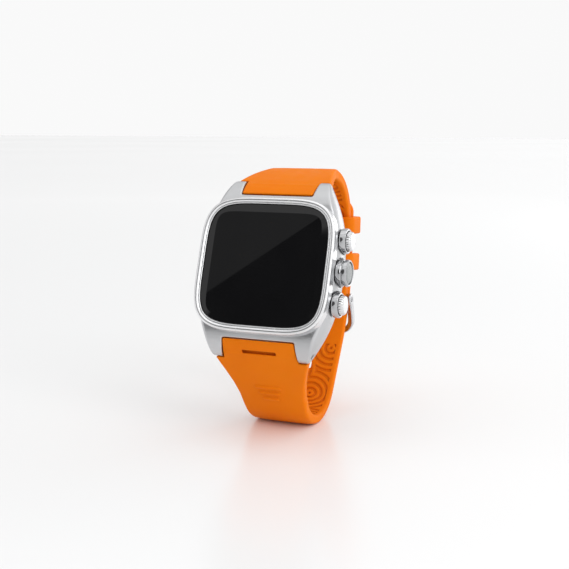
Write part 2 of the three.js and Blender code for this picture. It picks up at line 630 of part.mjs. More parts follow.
function stationAt(height) {
  const after = backStations.findIndex((station) => station.y < height);
  const from = backStations[after - 1];
  const to = backStations[after];
  const share = (height - from.y) / (to.y - from.y);
  const between = (key) => THREE.MathUtils.lerp(from[key], to[key], share);
  return { y: between('y'), z: between('z'), outY: between('outY'), outZ: between('outZ') };
}
const KEEPER_HEIGHTS = { upper: 23.2, lower: 11.9 };
for (const [name, height] of Object.entries(KEEPER_HEIGHTS)) {
  addPiece(`keeper_${name}`, keeper(stationAt(height)), orangeRubber);
}

// ---- stand it on its strap ----------------------------------------------------------------------
const standing = new THREE.Group();
watch.rotation.x = Math.PI / 2 - LEAN;
const footInRow = foot.clone().applyEuler(watch.rotation);
watch.position.copy(footInRow.negate());
standing.add(watch);

export default standing;
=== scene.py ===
"""Looks of the buckled touchscreen sports watch: steel case, black glass, orange rubber strap.

Shapes are worked out in the watch's own axes, in millimetres: x across the display towards the
buttons, y towards 12 o'clock, z out of the display.  WATCH carries them into the frame, in metres.
Most pieces are the zero surface of a distance field, so every edge has its own small rounding.
"""
import itertools
import json
import math

import bpy
import numpy as np
from mathutils import Matrix, Vector


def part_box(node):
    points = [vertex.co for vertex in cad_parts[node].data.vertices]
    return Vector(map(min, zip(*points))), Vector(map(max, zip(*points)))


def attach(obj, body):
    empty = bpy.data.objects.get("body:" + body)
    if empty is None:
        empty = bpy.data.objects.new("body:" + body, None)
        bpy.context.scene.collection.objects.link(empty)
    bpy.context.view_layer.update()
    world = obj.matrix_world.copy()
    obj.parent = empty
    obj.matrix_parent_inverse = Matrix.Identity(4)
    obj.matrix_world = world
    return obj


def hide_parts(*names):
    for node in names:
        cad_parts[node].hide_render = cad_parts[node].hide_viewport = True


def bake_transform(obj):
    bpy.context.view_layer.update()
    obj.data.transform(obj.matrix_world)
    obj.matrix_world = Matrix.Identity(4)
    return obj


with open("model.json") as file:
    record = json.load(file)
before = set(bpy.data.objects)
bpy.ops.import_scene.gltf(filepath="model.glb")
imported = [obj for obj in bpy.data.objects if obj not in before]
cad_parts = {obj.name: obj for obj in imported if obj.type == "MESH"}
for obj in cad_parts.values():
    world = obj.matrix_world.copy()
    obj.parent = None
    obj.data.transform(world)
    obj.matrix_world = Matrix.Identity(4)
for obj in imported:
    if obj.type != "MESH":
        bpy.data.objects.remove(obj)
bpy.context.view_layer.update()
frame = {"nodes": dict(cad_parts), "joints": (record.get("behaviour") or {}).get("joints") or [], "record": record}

# ---- the watch's own axes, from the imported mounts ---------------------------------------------
MM = 0.001
MOUNTS = {mount["name"]: mount for mount in frame["record"]["mounts"]}
JOINTS = {joint["name"]: joint for joint in frame["joints"]}
GLASS_TOP = -0.2
FACE = Vector(MOUNTS["display_face"]["pos_m"])
OUT = Vector(MOUNTS["display_face"]["axis"]).normalized()
ACROSS = Vector((1, 0, 0))
UP = OUT.cross(ACROSS)
ORIGIN = FACE - OUT * GLASS_TOP * MM
WATCH = np.array([ACROSS, UP, OUT]).T * MM


def to_frame(points):
    return np.asarray(points) @ WATCH.T + np.array(ORIGIN)


def to_watch(point):
    offset = Vector(point) - ORIGIN
    return np.array([offset.dot(ACROSS), offset.dot(UP), offset.dot(OUT)]) / MM


# ---- driving sizes, the same as the CAD's -----------------------------------------------------
NOTCH_HALF = 11.0
NOTCH_FLOOR = 21.1
LUG_RADIUS = 2.2
BAR = to_watch(JOINTS["strap_flex"]["pos_m"])[1:]
HINGE = to_watch(JOINTS["buckle_hinge"]["pos_m"])[1:]
CASE_FRONT, CASE_BACK = -2.6, -11.0
GLASS_HALF = (18.4, 17.5)
CORNER_POWER = 4.7
CONTROL_Y, CONTROL_Z = 9.1, -6.2
STRAP_HALF = 10.0
STRAP_THICKNESS, TAIL_THICKNESS = 3.2, 2.6


# ---- distance fields --------------------------------------------------------------------------
def smooth_max(a, b, k):
    blend = np.maximum(k - np.abs(a - b), 0) / k
    return np.maximum(a, b) + blend * blend * k / 4


def smooth_min(a, b, k):
    return -smooth_max(-a, -b, k)


def cut(body, tool, k=0.25):
    return smooth_max(body, -tool, k)


def length(*parts):
    return np.sqrt(sum(part * part for part in parts))


def rounded(radius, *distances):
    """Inside where every distance is below zero, with edges of that radius."""
    shifted = [distance + radius for distance in distances]
    outside = length(*[np.maximum(part, 0) for part in shifted])
    inside = shifted[0]
    for part in shifted[1:]:
        inside = np.maximum(inside, part)
    return outside + np.minimum(inside, 0) - radius


def superellipse(x, y, half, power):
    reach = (np.abs(x / half[0]) ** power + np.abs(y / half[1]) ** power) ** (1 / power)
    return length(x, y) * (1 - 1 / np.maximum(reach, 1e-6))


def outline_distance(points, a, b):
    """Signed distance to a closed outline, negative inside."""
    a, b = np.broadcast_arrays(a, b)
    nearest = np.full(a.shape, 1e9)
    inside = np.zeros(a.shape, bool)
    for (pa, pb), (qa, qb) in zip(points, np.roll(points, -1, axis=0)):
        ea, eb = qa - pa, qb - pb
        share = np.clip(((a - pa) * ea + (b - pb) * eb) / (ea * ea + eb * eb), 0, 1)
        nearest = np.minimum(nearest, (a - pa - share * ea) ** 2 + (b - pb - share * eb) ** 2)
        if eb != 0:
            inside ^= ((pb <= b) != (qb <= b)) & (a < pa + (b - pb) * ea / eb)
    return np.where(inside, -1, 1) * np.sqrt(nearest)


def segment_distance(y, z, start, end):
    """Distance from a line segment in the y-z plane, and the share along it."""
    ey, ez = end[0] - start[0], end[1] - start[1]
    share = np.clip(((y - start[0]) * ey + (z - start[1]) * ez) / (ey * ey + ez * ez), 0, 1)
    return length(y - start[0] - share * ey, z - start[1] - share * ez), share


# ---- meshes -----------------------------------------------------------------------------------
def skin(field, low, high, cell, settle=3):
    """Points, quads and normals of the surface where field is zero."""
    axes = [np.arange(a - 2 * cell, b + 2.01 * cell, cell) for a, b in zip(low, high)]
    grid = np.meshgrid(*axes, indexing="ij", sparse=True)
    value = np.broadcast_to(field(*grid), [len(axis) for axis in axes])
    inside = value < 0
    cells = [count - 1 for count in value.shape]

    def at(array, offset):
        return array[tuple(slice(o, o + n) for o, n in zip(offset, cells))]

    corners = list(itertools.product((0, 1), repeat=3))
    filled = sum(at(inside, corner).astype(np.int8) for corner in corners)
    mixed = (filled > 0) & (filled < 8)
    number = np.full(cells, -1)
    number[mixed] = np.arange(mixed.sum())
    total = np.zeros((mixed.sum(), 3))
    hits = np.zeros(mixed.sum())
    for a, b in itertools.combinations(corners, 2):
        step = np.subtract(b, a)
        if np.abs(step).sum() != 1:
            continue
        va, vb = at(value, a)[mixed], at(value, b)[mixed]
        crosses = (va < 0) != (vb < 0)
        share = np.where(crosses, va / np.where(crosses, va - vb, 1), 0)
        total += crosses[:, None] * (np.array(a) + share[:, None] * step)
        hits += crosses
    points = np.array([axis[0] for axis in axes]) + (np.argwhere(mixed) + total / hits[:, None]) * cell

    quads = []
    for axis in range(3):
        u, v = np.eye(3, dtype=int)[[(axis + 1) % 3, (axis + 2) % 3]]
        ahead = np.take(inside, range(1, inside.shape[axis]), axis=axis)
        behind = np.take(inside, range(0, inside.shape[axis] - 1), axis=axis)
        edges = np.argwhere(ahead != behind)
        corner_cells = [edges - u - v, edges - v, edges, edges - u]
        quad = np.stack([number[tuple(place.T)] for place in corner_cells], axis=1)
        leaving = behind[tuple(edges.T)]
        quads.append(np.where(leaving[:, None], quad, quad[:, ::-1]))
    quads = np.concatenate(quads)

    def slope_at(places, value_there, step=0.02):
        slopes = []
        for shift in np.eye(3) * step:
            slopes.append((field(*(places + shift).T) - value_there) / step)
        return np.stack(slopes, axis=1)

    for _ in range(settle):
        value_there = field(*points.T)
        slope = slope_at(points, value_there)
        move = slope * (value_there / np.maximum((slope ** 2).sum(1), 0.25))[:, None]
        points = points - np.clip(move, -cell, cell)
    slope = slope_at(points, field(*points.T))
    normals = slope / np.maximum(np.linalg.norm(slope, axis=1), 1e-9)[:, None]
    return points, quads, normals


def make_piece(name, points, faces, material, normals=None):
    mesh = bpy.data.meshes.new(name)
    mesh.from_pydata(to_frame(points).tolist(), [], [list(face) for face in np.asarray(faces, dtype=object)]
                     if not isinstance(faces, np.ndarray) else faces.tolist())
    mesh.shade_smooth()
    if normals is not None:
        turned = normals @ WATCH.T / MM
        mesh.normals_split_custom_set_from_vertices(turned.tolist())
    mesh.materials.append(material)
    piece = bpy.data.objects.new(name, mesh)
    bpy.context.collection.objects.link(piece)
    return piece


def carve(name, field, low, high, cell, material, keep_normals=True):
    points, quads, normals = skin(field, low, high, cell)
    return make_piece(name, points, quads, material, normals if keep_normals else None)


def loft(name, rings, material, close_rings=False, cap=False, smooth_angle=35):
    """A surface through equal rings of points; close_rings joins the last ring to the first."""
    count = len(rings[0])
    points = np.concatenate(rings)
    faces = []
    spans = len(rings) if close_rings else len(rings) - 1
    for ring in range(spans):
        here, there = ring * count, (ring + 1) % len(rings) * count
        for i in range(count):
            j = (i + 1) % count
            faces.append((here + i, here + j, there + j, there + i))
    if cap:
        faces.append(tuple(reversed(range(count))))
        faces.append(tuple(range((len(rings) - 1) * count, len(rings) * count)))
    piece = make_piece(name, points, faces, material)
    for polygon in piece.data.polygons:
        polygon.use_smooth = True
    piece.data.set_sharp_from_angle(angle=math.radians(smooth_angle))
    return piece


def barrel_outline(half, count=256, power=CORNER_POWER):
    """Points and outward directions round a superellipse."""
    angle = np.arange(count) / count * 2 * np.pi
    cosine, sine = np.cos(angle), np.sin(angle)
    x = half[0] * np.sign(cosine) * np.abs(cosine) ** (2 / power)
    y = half[1] * np.sign(sine) * np.abs(sine) ** (2 / power)
    return spread(np.stack([x, y], axis=1), count)


def spread(points, count):
    """The same closed outline with evenly spaced points, and its outward directions."""
    closed = np.vstack([points, points[:1]])
    along = np.concatenate([[0], np.cumsum(np.linalg.norm(np.diff(closed, axis=0), axis=1))])
    even = np.linspace(0, along[-1], count, endpoint=False)
    x, y = np.interp(even, along, closed[:, 0]), np.interp(even, along, closed[:, 1])
    dx, dy = np.roll(x, -1) - np.roll(x, 1), np.roll(y, -1) - np.roll(y, 1)
    size = np.hypot(dx, dy)
    return np.stack([x, y], axis=1), np.stack([dy / size, -dx / size], axis=1)


def rim(name, outline, profile, material, smooth_angle=35):
    """A closed profile of (outward, height) swept round an outline that lies in the x-y plane."""
    points, outward = outline
    rings = []
    for offset, height in profile:
        ring = points + outward * offset
        rings.append(np.column_stack([ring, np.full(len(ring), height)]))
    return loft(name, rings[::-1], material, close_rings=True, smooth_angle=smooth_angle)


def turned(name, profile, place, material, segments=96, flutes=0, depth=0.0, fluted=()):
    """A profile of (x, radius) turned about an x axis through place; rings in `fluted` are scalloped."""
    angle = np.arange(segments) / segments * 2 * np.pi
    scallop = 1 - depth * (0.5 + 0.5 * np.cos(flutes * angle)) ** 2
    rings = []
    for index, (x, radius) in enumerate(profile):
        reach = radius * (scallop if index in fluted else 1) * np.ones(segments)
        rings.append(np.column_stack([np.full(segments, x), place[0] + reach * np.cos(angle),
                                      place[1] + reach * np.sin(angle)]))
    return loft(name, rings, material, cap=True)


# ---- materials --------------------------------------------------------------------------------
class Paint:
    """A node material built round one Principled shader."""

    def __init__(self, name, **values):
        self.material = bpy.data.materials.new(name)
        self.material.use_nodes = True
        self.tree = self.material.node_tree
        self.shader = self.tree.nodes["Principled BSDF"]
        for key, value in values.items():
            self.shader.inputs[key.replace("_", " ")].default_value = value
        self.place = self.tree.nodes.new("ShaderNodeTexCoord").outputs["Object"]

    def node(self, kind, links=None, **settings):
        made = self.tree.nodes.new(kind)
        for key, value in settings.items():
            setattr(made, key, value)
        for key, value in (links or {}).items():
            if isinstance(value, bpy.types.NodeSocket):
                self.tree.links.new(value, made.inputs[key])
            else:
                made.inputs[key].default_value = value
        return made

    def noise(self, scale, detail=3.0, stretch=None, roughness=0.5):
        place = self.place
        if stretch:
            place = self.node("ShaderNodeMapping", {"Vector": place, "Scale": stretch}).outputs["Vector"]
        return self.node("ShaderNodeTexNoise", {"Vector": place, "Scale": scale, "Detail": detail,
                                                "Roughness": roughness}).outputs["Fac"]

    def spots(self, scale):
        return self.node("ShaderNodeTexVoronoi", {"Vector": self.place, "Scale": scale}).outputs["Distance"]

    def span(self, value, low, high, from_low=0.3, from_high=0.7):
        return self.node("ShaderNodeMapRange", {"Value": value, "From Min": from_low, "From Max": from_high,
                                                "To Min": low, "To Max": high}).outputs["Result"]

    def colours(self, value, stops):
        ramp = self.node("ShaderNodeValToRGB", {"Fac": value})
        elements = ramp.color_ramp.elements
        for index, (position, colour) in enumerate(stops):
            element = elements[index] if index < 2 else elements.new(position)
            element.position = position
            element.color = (*colour, 1)
        return ramp.outputs["Color"]

    def drive(self, socket, value):
        self.tree.links.new(value, self.shader.inputs[socket])

    def bump(self, height, strength, distance, below=None):
        links = {"Height": height, "Strength": strength, "Distance": distance}
        if below:
            links["Normal"] = below
        return self.node("ShaderNodeBump", links).outputs["Normal"]


METAL_GRAIN = 900


def metal(name, dark, light, rough_low, rough_high, brushed=0.0, stretch=(1, 1, 1)):
    paint = Paint(name, Metallic=1.0)
    cloud = paint.noise(60, 4)
    paint.drive("Base Color", paint.colours(cloud, [(0.35, dark), (0.68, light)]))
    grain = paint.noise(METAL_GRAIN, 4, stretch, 0.65)
    smudge = paint.noise(140, 5, None, 0.6)
    both = paint.node("ShaderNodeMath", {0: grain, 1: smudge}, operation="ADD").outputs["Value"]
    paint.drive("Roughness", paint.span(both, rough_low, rough_high, 0.75, 1.25))
    if brushed:
        paint.drive("Normal", paint.bump(grain, brushed, 0.00002))
    return paint.material


def rubber(name, dark, mid, light, deep):
    paint = Paint(name, Specular_IOR_Level=0.09)
    paint.shader.inputs["Subsurface Weight"].default_value = 0.12
    paint.shader.inputs["Subsurface Radius"].default_value = (0.004, 0.0012, 0.0004)
    paint.shader.inputs["Subsurface Scale"].default_value = 0.5
    face = paint.colours(paint.noise(45, 5), [(0.3, dark), (0.5, mid), (0.75, light)])
    # Painted shade: ambient occlusion mixes the colour towards deep in the grooves, slits, holes and creases.
    painted_crease_shade = paint.node("ShaderNodeAmbientOcclusion", {"Distance": 0.0014}, samples=8, only_local=True)
    shade = paint.span(painted_crease_shade.outputs["AO"], 0.0, 1.0, 0.42, 0.92)
    mix = paint.node("ShaderNodeMix", {"Factor": shade}, data_type="RGBA")
    mix.inputs["A"].default_value = (*deep, 1)
    paint.tree.links.new(face, mix.inputs["B"])
    paint.drive("Base Color", mix.outputs["Result"])
    paint.drive("Roughness", paint.span(paint.noise(300, 4), 0.52, 0.66))
    fine = paint.bump(paint.noise(9000, 2), 0.16, 0.00002)
    paint.drive("Normal", paint.bump(paint.spots(5200), 0.10, 0.00002, fine))
    return paint.material


def glass_face(name, deep, haze, rough, specular=0.4):
    paint = Paint(name, Specular_IOR_Level=specular)
    paint.drive("Base Color", paint.colours(paint.noise(70, 4), [(0.35, deep), (0.7, haze)]))
    paint.drive("Roughness", paint.span(paint.noise(160, 5), rough, rough + 0.03))
    return paint.material


def plastic(name, dark, light, rough=0.5):
    paint = Paint(name, Metallic=0.0)
    paint.drive("Base Color", paint.colours(paint.noise(220, 4), [(0.35, dark), (0.7, light)]))
    paint.drive("Roughness", paint.span(paint.noise(500, 3), rough - 0.06, rough + 0.08))
    paint.drive("Normal", paint.bump(paint.noise(6000, 3), 0.2, 0.00003))
    return paint.material


CASE_STEEL = metal("satin_steel", (0.54, 0.545, 0.555), (0.62, 0.625, 0.635), 0.30, 0.40, 0.12, (1, 7, 1))
POLISHED = metal("polished_steel", (0.66, 0.665, 0.675), (0.74, 0.74, 0.75), 0.07, 0.13, 0.02)
COLLAR_STEEL = metal("mirror_collar_steel", (0.46, 0.465, 0.475), (0.54, 0.545, 0.555), 0.05, 0.10, 0.02)
BEZEL_STEEL = metal("bezel_steel", (0.76, 0.765, 0.775), (0.84, 0.84, 0.85), 0.20, 0.28, 0.02)
COVER_STEEL = metal("brushed_cover_steel", (0.50, 0.51, 0.52), (0.60, 0.61, 0.62), 0.28, 0.42, 0.25,
                    (1, 26, 26))
BUCKLE_STEEL = metal("buckle_steel", (0.44, 0.44, 0.45), (0.54, 0.54, 0.55), 0.12, 0.22, 0.04)
PIN_STEEL = metal("pin_steel", (0.30, 0.30, 0.31), (0.42, 0.42, 0.43), 0.30, 0.45, 0.1)
GOLD = metal("contact_gold", (0.72, 0.48, 0.16), (0.85, 0.62, 0.25), 0.18, 0.30)
FOIL = metal("battery_foil", (0.52, 0.53, 0.55), (0.64, 0.65, 0.67), 0.3, 0.5, 0.2)
# The last colour is the painted shade that the rubber takes in its grooves, slits and creases.
ORANGE = rubber("orange_silicone", (0.81, 0.182, 0.001), (0.85, 0.198, 0.0015), (0.88, 0.214, 0.002),
                (0.40, 0.058, 0.001))
BLACK_GLASS = glass_face("black_display_glass", (0.0025, 0.0025, 0.003), (0.004, 0.004, 0.0045), 0.0)
GREY_GLASS = glass_face("camera_window_glass", (0.17, 0.185, 0.185), (0.24, 0.255, 0.255), 0.06, 0.6)
BLACK_PLASTIC = plastic("black_plastic", (0.012, 0.012, 0.013), (0.022, 0.022, 0.024))
BLACK_RUBBER = plastic("seal_rubber", (0.010, 0.010, 0.010), (0.018, 0.018, 0.018), 0.75)
BOARD = plastic("board_mask", (0.012, 0.10, 0.035), (0.022, 0.15, 0.055), 0.4)
CERAMIC = plastic("antenna_ceramic", (0.55, 0.43, 0.27), (0.66, 0.54, 0.36), 0.6)


# ---- case -------------------------------------------------------------------------------------
LUG_TIP = BAR[0] + LUG_RADIUS
CASE_PLAN = [(0, 21.6), (6, 21.3), (12, 20.4), (17.8, 18.8), (22.4, 16.5), (LUG_TIP, 14.7)]
PLAN_CURVE = np.polyfit([y * y for y, _ in CASE_PLAN], [half for _, half in CASE_PLAN], 3)


def lug_point(degrees):
    angle = math.radians(degrees)
    return BAR + LUG_RADIUS * np.array([math.cos(angle), math.sin(angle)])


def case_side_outline():
    # The front falls away to the lug in one smooth curve.
    tip = lug_point(52)
    guide = [np.array([17.5, CASE_FRONT]), np.array([20.8, CASE_FRONT]), tip + np.array([-1.89, 1.48]), tip]
    points = [np.array([-1, CASE_FRONT])]
    for t in np.linspace(0, 1, 12):
        weights = ((1 - t) ** 3, 3 * t * (1 - t) ** 2, 3 * t * t * (1 - t), t ** 3)
        points.append(sum(weight * place for weight, place in zip(weights, guide)))
    points += [lug_point(degrees) for degrees in range(44, -81, -8)]
    return np.array([tuple(point) for point in points] + [(20.6, -11.4), (18.6, CASE_BACK), (-1, CASE_BACK)])


CASE_SIDE = case_side_outline()
WIDEST_Z = -6.4
FRONT_INSET, BACK_INSET = 1.15, 0.9
SCREWS = [(14.1, 13.0)]


def case_field(x, y, z):
    ax, ay = np.abs(x), np.abs(y)
    half = np.polyval(PLAN_CURVE, ay * ay)
    lean = np.polyval(np.polyder(PLAN_CURVE), ay * ay) * 2 * ay
    rise = np.clip((z - WIDEST_Z) / (CASE_FRONT - WIDEST_Z), 0, 1)
    fall = np.clip((WIDEST_Z - z) / (WIDEST_Z - CASE_BACK), 0, 1)
    wall = (ax - half) / np.sqrt(1 + lean * lean) + FRONT_INSET * rise ** 2 + BACK_INSET * fall ** 2
    body = smooth_max(wall, outline_distance(CASE_SIDE, ay, z), 0.55)
    body = cut(body, superellipse(x, y, (17.0, 15.8), 5), 0.2)
    notch = rounded(0.3, ax - NOTCH_HALF - 0.14 * (ay - NOTCH_FLOOR), NOTCH_FLOOR - ay)
    body = cut(body, notch, 0.45)
    body = cut(body, length(ay - BAR[0], z - BAR[1]) - 0.8, 0.25)
    button = length(ay - CONTROL_Y, z - CONTROL_Z)
    body = cut(body, np.maximum(button - 3.85, 20.3 - x), 0.2)
    body = cut(body, np.maximum(button - 2.7, 15 - x), 0.1)
    camera = length(y, z - CONTROL_Z)
    body = cut(body, np.maximum(camera - 4.1, 20.5 - x), 0.2)
    return cut(body, np.maximum(camera - 2.4, 15 - x), 0.1)


def build_case():
    case = carve("case_shell", case_field, (-22, -26.2, -11.8), (22, 26.2, -2.4), 0.3, CASE_STEEL)
    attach(case, "case")
    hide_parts("mid_case")


def arc(centre, radius, start, end, steps):
    """Points of (outward, height) on an arc, angles in degrees."""
    angles = np.radians(np.linspace(start, end, steps))
    return [(centre[0] + radius * math.cos(a), centre[1] + radius * math.sin(a)) for a in angles]


def build_bezel():
    # From the window edge outwards: a thin inner lip, a fine groove, the broad ring, down to the case.
    lip = [(-0.95, -1.75), (0.0, -1.75), (0.0, -0.42)] + arc((0.22, -0.30), 0.22, 180, 20, 7)
    groove = [(0.50, -0.36), (0.60, -0.36)]
    crown = arc((1.18, -0.55), 0.78, 150, 20, 12)
    skirt = [(1.86, -0.95), (1.90, -1.5), (2.05, -2.1), (2.12, -2.66), (-0.95, -2.66)]
    bezel = rim("bezel", barrel_outline((GLASS_HALF[0] + 0.12, GLASS_HALF[1] + 0.12), 320),
                lip + groove + crown + skirt, BEZEL_STEEL, 30)
    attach(bezel, "case")
    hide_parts("bezel_ring")


def build_glass():
    # Flat and nearly square in the middle, with a shallow bevel all round.
    outline, outward = barrel_outline(GLASS_HALF, 320)
    flat, _ = barrel_outline((GLASS_HALF[0] - 2.1, GLASS_HALF[1] - 2.35), 320, 9)
    rings = [np.column_stack([outline + outward * offset, np.full(len(outline), height)])
             for offset, height in [(-0.12, -1.4), (0, -1.28), (0, -0.54), (-0.08, -0.46)]]
    for share in (1, 0.93, 0.6, 0.3, 0.05):
        rings.append(np.column_stack([flat * share, np.full(len(flat), GLASS_TOP)]))
    glass = loft("display", rings, BLACK_GLASS, cap=True, smooth_angle=5)
    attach(glass, "case")
    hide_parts("display_glass")


# ---- side controls ----------------------------------------------------------------------------
def build_controls():
    for name, side in (("top", 1), ("bottom", -1)):
        place = (side * CONTROL_Y, CONTROL_Z)
        collar = [(20.75, 3.2), (20.75, 3.55), (22.15, 3.6), (22.4, 3.45), (22.5, 3.2), (22.45, 3.0),
                  (21.3, 2.95), (21.15, 2.0), (20.75, 2.0)]
        ring = turned_ring(f"collar_{name}", collar, place, COLLAR_STEEL)
        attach(ring, "case")
        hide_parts(f"button_collar_{name}")
        cap = [(16.9, 1.2), (22.0, 1.2), (22.0, 2.72), (22.15, 2.8), (23.1, 2.8), (23.45, 2.7), (23.75, 2.45),
               (23.88, 2.1), (23.84, 1.7), (23.86, 1.2), (23.9, 0.3)]
        button = turned(f"push_button_{name}", cap, place, POLISHED, 144, 18, 0.055, (3, 4, 5))
        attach(button, f"{name}_button")
        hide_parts(f"button_{name}")


def turned_ring(name, profile, place, material, segments=96):
    """A closed profile of (x, radius) turned about an x axis through place."""
    angle = np.arange(segments) / segments * 2 * np.pi
    rings = [np.column_stack([np.full(segments, x), place[0] + radius * np.cos(angle),
                              place[1] + radius * np.sin(angle)]) for x, radius in profile]
    return loft(name, rings, material, close_rings=True)


def build_camera():
    place = (0, CONTROL_Z)
    # A collar, a shallow groove and the flange that holds the window.
    profile = [(17.4, 1.5), (17.4, 2.1), (20.85, 2.1), (20.85, 3.7), (21.3, 3.82), (22.1, 3.82), (22.25, 3.7),
               (22.3, 3.45), (22.5, 3.42), (22.6, 3.65), (22.8, 3.82), (23.3, 3.85), (23.75, 3.72),
               (23.95, 3.45), (23.9, 3.2), (23.2, 3.05), (23.2, 1.5)]
    housing = turned_ring("camera_ring", profile, place, COLLAR_STEEL, 128)
    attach(housing, "case")
    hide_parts("camera_housing")
    window = [(23.25, 2.6), (23.3, 2.95), (23.62, 2.98), (23.72, 2.85), (23.8, 2.2), (23.84, 1.2),
              (23.85, 0.3)]
    glass = turned("camera_window", window, place, GREY_GLASS, 96)
    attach(glass, "case")
    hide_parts("camera_glass")


# ---- back -------------------------------------------------------------------------------------
COVER_TOP, COVER_BOTTOM = -11.3, -12.6
CONTACT_XS = (-4.5, -1.5, 1.5, 4.5)
CONTACT_Y = 9.0


def cover_field(x, y, z):
    body = rounded(0.5, superellipse(x, y, (18.3, 17.2), CORNER_POWER), z - COVER_TOP, COVER_BOTTOM - z)
    step = rounded(0.2, -superellipse(x, y, (16.6, 15.5), CORNER_POWER), z + 12.3, -13.5 - z)
    body = cut(body, step, 0.2)
    sx, sy = SCREWS[0]
    screw = length(np.abs(x) - sx, np.abs(y) - sy)
    body = cut(body, np.maximum(screw - 1.6, z + 12.0), 0.15)
    body = cut(body, screw - 0.95, 0.1)
    for contact in CONTACT_XS:
        body = cut(body, length(x - contact, y - CONTACT_Y) - 0.95, 0.12)
    return body


def build_back():
    cover = carve("back_plate", cover_field, (-18.4, -17.3, -12.7), (18.4, 17.3, -11.2), 0.3, COVER_STEEL)
    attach(cover, "case")
    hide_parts("back_cover")


# ---- strap ------------------------------------------------------------------------------------
class Path:
    """The outer face of a strap, walked from the notch; side is +1 for 12 o'clock, -1 for 6."""

    def __init__(self, side, start, heading, stretches, fineness=0.8):
        self.side = side
        self.points = [np.array(start, float)]
        self.headings = [math.radians(heading)]
        for distance, turn in stretches:
            steps = max(1, round(distance / fineness))
            step, bend = distance / steps, math.radians(turn) / steps
            for _ in range(steps):
                middle = self.headings[-1] + bend / 2
                move = np.array([side * math.cos(middle), -math.sin(middle)]) * step
                self.points.append(self.points[-1] + move)
                self.headings.append(self.headings[-1] + bend)

    def outward(self, index):
        heading = self.headings[index]
        return np.array([self.side * math.sin(heading), math.cos(heading)])


def measure(points):
    return np.concatenate([[0], np.cumsum(np.linalg.norm(np.diff(points, axis=0), axis=1))])


def locate(points, side, y, z):
    """Distance along an outer face and distance outside it, for points in the y-z plane."""
    y, z = np.broadcast_arrays(y, z)
    nearest = np.full(y.shape, 1e9)
    along = np.zeros(y.shape)
    off = np.zeros(y.shape)
    lengths = measure(points)
    last = len(points) - 2
    for index in range(last + 1):
        start, end = points[index], points[index + 1]
        size = lengths[index + 1] - lengths[index]
        ty, tz = (end - start) / size
        run = (y - start[0]) * ty + (z - start[1]) * tz
        low = -1e9 if index == 0 else 0
        high = 1e9 if index == last else size
        inside_run = np.clip(run, low, high)
        distance = length(run - inside_run, (y - start[0]) * tz - (z - start[1]) * ty)
        signed = -side * ((y - start[0]) * tz - (z - start[1]) * ty)
        closer = distance < nearest
        nearest = np.where(closer, distance, nearest)
        along = np.where(closer, lengths[index] + inside_run, along)
        off = np.where(closer, np.sign(signed) * distance, off)
    return along, off


START = (NOTCH_FLOOR + 0.25, -3.05)
TAPER_UPPER = ([0, 6, 12, 17, 22, 28], [14.75, 14.75, 13.3, 12.0, 10.8, STRAP_HALF])
TAPER_LOWER = ([0, 6, 12, 17, 22, 28], [14.75, 14.75, 12.7, 11.3, 10.4, STRAP_HALF])

upper_path = Path(1, START, 34, [(6.3, 16), (15, 14), (30, 99), (24.5, 8)])
lower_path = Path(-1, (-START[0], START[1]), 34, [(6.3, 16), (20, 1.5), (30.1, 115), (19, 0)])
BACK_START = next(i for i, h in enumerate(upper_path.headings) if h >= math.radians(163) - 1e-6)
TAIL_LIFT = TAIL_THICKNESS + 0.2
TAIL_OVERHANG = 7.6
tail = [upper_path.points[i] + upper_path.outward(i) * TAIL_LIFT
        for i in range(len(upper_path.points) - 1, BACK_START - 1, -1)]
tail_direction = (tail[-1] - tail[-2]) / np.linalg.norm(tail[-1] - tail[-2])
tail.append(tail[-1] + tail_direction * TAIL_OVERHANG)
UPPER = np.array(upper_path.points)
LOWER = np.array(list(lower_path.points) + tail)
LOWER_LENGTH = measure(LOWER)[-1]
TAIL_START = measure(np.array(lower_path.points))[-1]


def lower_thickness(along):
    return np.interp(along, [30, 56], [STRAP_THICKNESS, TAIL_THICKNESS])


def contour_relief(along, x):
    """Grooves of the wrist side: nested arcs round a few centres, as lines of equal distance."""
    centres = [(30, -3), (38, 6), (46, -6.5), (54, 3), (62, -4), (70, 7), (78, -2), (22, 5), (14, -6)]
    nearest = np.full(np.broadcast(along, x).shape, 1e9)
    for centre_along, centre_x in centres:
        nearest = np.minimum(nearest, length(along - centre_along, x - centre_x))
    wave = np.cos(nearest * 2 * np.pi / 1.9)
    return np.clip(wave * 1.5 + 0.1, 0, 1)


def fit_notch(body, side, x, y, z):
    """Trims the strap round the two lugs and adds the boss that turns on the spring bar."""
    ax, ay = np.abs(x), y * side
    circle = length(ay - BAR[0], z - BAR[1])
    flare = NOTCH_HALF - 0.2 + 0.14 * (ay - NOTCH_FLOOR)
    lug = np.maximum(flare - ax, np.minimum(circle - LUG_RADIUS - 0.2, ay - BAR[0]))
    body = cut(body, np.maximum(lug, -14 - z), 0.5)
    boss = rounded(0.3, circle - 1.75, ax - 10.7)
    body = smooth_min(body, boss, 0.25)
    body = cut(body, circle - 0.8, 0.1)
    return smooth_max(body, np.minimum(NOTCH_FLOOR + 0.2 - ay, z + 14), 0.4)


STRAP_EDGE_RADIUS = 0.75


def band(along, off, x, half, thickness, end, relief, crown):
    """A run of strap whose outer face falls away by crown at the edges, once past the shoulders."""
    inner = -off - thickness + relief
    off = off + crown * np.clip((along - 10) / 10, 0, 1) * np.abs(x / half) ** 5
    return rounded(STRAP_EDGE_RADIUS, np.maximum(off, inner), np.abs(x) - half, -1 - along, along - end)


